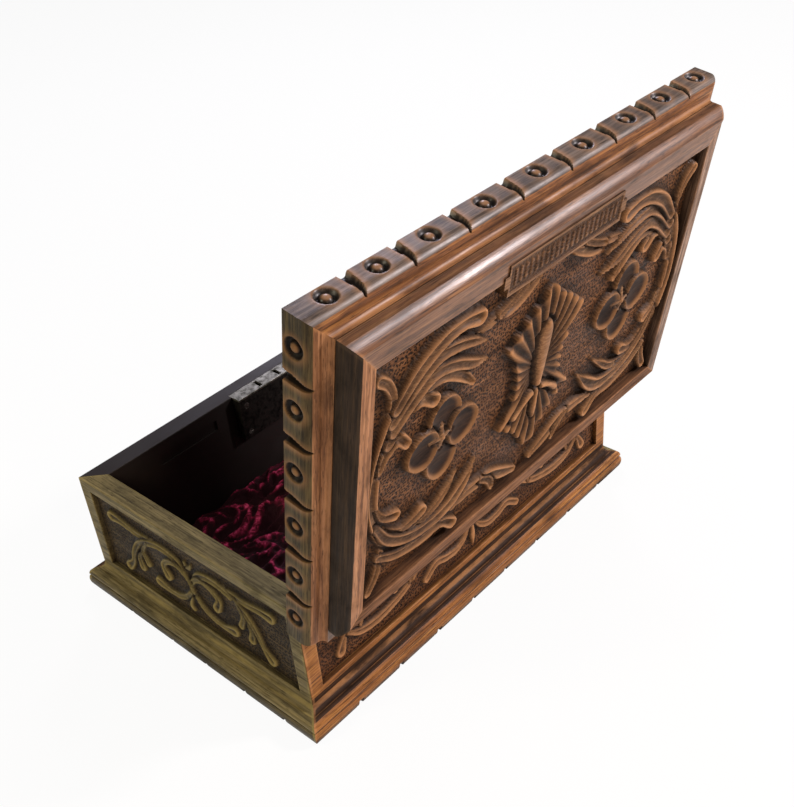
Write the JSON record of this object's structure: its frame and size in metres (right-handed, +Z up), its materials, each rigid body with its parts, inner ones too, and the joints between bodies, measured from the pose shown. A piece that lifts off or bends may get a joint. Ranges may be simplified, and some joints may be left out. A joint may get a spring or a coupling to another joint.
{
  "type": "carved wooden box with hinged lid",
  "caption": "Carved hardwood box with a mitred case, moulded plinth, raised-panel lid on two butt hinges, inset box lock and a loose velvet lining.",
  "frame": {"origin": "centre of the case at the level of the table", "axes": "+X along the box, +Y from the lock side to the hinge side, +Z up"},
  "size_m": [0.3226, 0.2808, 0.3013],
  "materials": {
    "case_oak": "dark stained and waxed",
    "inner_oak": "dark stained, dull",
    "lid_oak": "dark stained and waxed",
    "velvet": "crushed velvet",
    "lock_iron": "aged and dull",
    "hinge_brass": "aged",
    "screw_steel": "aged"
  },
  "bodies": {
    "box": {"front_board": "case_oak", "back_board": "case_oak", "left_end_board": "case_oak", "right_end_board": "case_oak", "bottom_board": "inner_oak", "plinth_front": "case_oak", "plinth_back": "case_oak", "plinth_left": "case_oak", "plinth_right": "case_oak", "velvet_cloth": "velvet", "lock_case": "lock_iron", "lock_plate": "lock_iron", "lock_screws": "screw_steel", "left_hinge_box_leaf": "hinge_brass", "right_hinge_box_leaf": "hinge_brass", "left_hinge_pin": "screw_steel", "right_hinge_pin": "screw_steel", "box_hinge_screws": "screw_steel"},
    "lid": {"lid_board": "lid_oak", "lid_frame_front": "lid_oak", "lid_frame_back": "lid_oak", "lid_frame_left": "lid_oak", "lid_frame_right": "lid_oak", "lid_panel": "lid_oak", "left_hinge_lid_leaf": "hinge_brass", "right_hinge_lid_leaf": "hinge_brass", "lid_hinge_screws": "screw_steel", "link_plate": "lock_iron", "link_screws": "screw_steel"},
    "bolt": {"lock_bolt": "lock_iron"}
  },
  "joints": [
    {"name": "lid_hinge", "type": "hinge", "parent": "box", "child": "lid", "pos_m": [0, 0.1044, 0.093], "axis": [1, 0, 0], "range_deg": [0, 100.6]},
    {"name": "lock_bolt_slide", "type": "slide", "parent": "box", "child": "bolt", "axis": [1, 0, 0], "range_m": [0, 0.005]}
  ]
}
